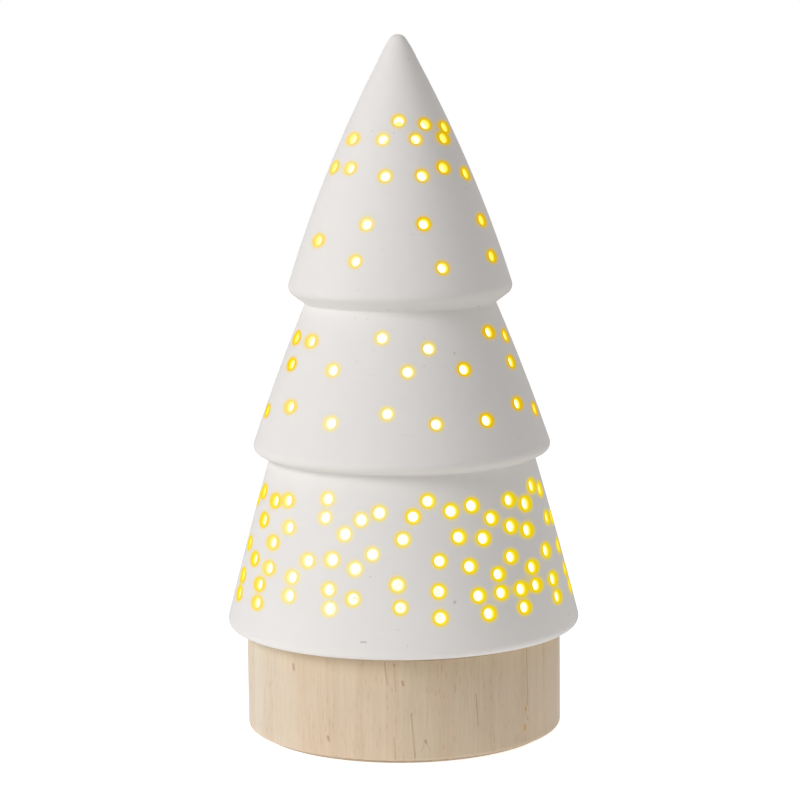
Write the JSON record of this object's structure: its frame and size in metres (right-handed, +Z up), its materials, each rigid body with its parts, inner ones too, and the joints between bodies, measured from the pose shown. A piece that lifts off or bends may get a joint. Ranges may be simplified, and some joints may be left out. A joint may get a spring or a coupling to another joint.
{
  "type": "ceramic christmas tree",
  "caption": "Table light: a pierced white ceramic tree in stepped tiers lifts off a round wooden base, which holds a frosted lamp and a battery case with a hinged door and a slide switch.",
  "frame": {"origin": "middle of the underside of the felt ring, where the light stands on a table", "axes": "+Z up along the tree's axis, -Y the front of the picture, +X its right"},
  "size_m": [0.1018, 0.1018, 0.2],
  "materials": {
    "bisque": "matte",
    "wood": "matte",
    "felt": "matte",
    "case_plastic": "satin",
    "cell_jacket": "satin",
    "spring_wire": "satin",
    "contact_metal": "satin",
    "board_green": "satin",
    "chip_black": "matte",
    "resistor_blue": "gloss",
    "switch_metal": "satin",
    "knob_black": "matte",
    "holder_plastic": "satin",
    "board_white": "satin",
    "frosted_dome": "satin",
    "led_resin": "gloss",
    "lead_red": "satin",
    "lead_black": "satin",
    "screw_zinc": "satin"
  },
  "bodies": {
    "base": {"wooden_base": "wood", "felt_ring": "felt", "battery_case": "case_plastic", "case_lid": "case_plastic", "cell_front": "cell_jacket", "cell_middle": "cell_jacket", "cell_back": "cell_jacket", "spring_front": "spring_wire", "spring_middle": "spring_wire", "spring_back": "spring_wire", "positive_contact": "contact_metal", "left_link_contact": "contact_metal", "right_link_contact": "contact_metal", "negative_contact": "contact_metal", "circuit_board": "board_green", "timer_chip": "chip_black", "resistor": "resistor_blue", "switch_body": "switch_metal", "lamp_holder": "holder_plastic", "led_board": "board_white", "led_1": "led_resin", "led_2": "led_resin", "led_3": "led_resin", "led_4": "led_resin", "led_5": "led_resin", "diffuser": "frosted_dome", "battery_lead_red": "lead_red", "battery_lead_black": "lead_black", "lamp_lead_red": "lead_red", "lamp_lead_black": "lead_black", "case_screws": "screw_zinc", "lid_screws": "screw_zinc", "board_screws": "screw_zinc", "holder_screws": "screw_zinc"},
    "hood": {"ceramic_tree": "bisque"},
    "door": {"battery_door": "case_plastic"},
    "switch": {"switch_knob": "knob_black"}
  },
  "joints": [
    {"name": "hood_lift", "type": "slide", "parent": "base", "child": "hood", "axis": [0, 0, 1], "range_m": [0, 0.06]},
    {"name": "door_hinge", "type": "hinge", "parent": "base", "child": "door", "pos_m": [-0.0252, 0, 0.0025], "axis": [0, 1, 0], "range_deg": [0, 70]},
    {"name": "switch_slide", "type": "slide", "parent": "base", "child": "switch", "axis": [1, 0, 0], "range_m": [0, 0.004]}
  ]
}
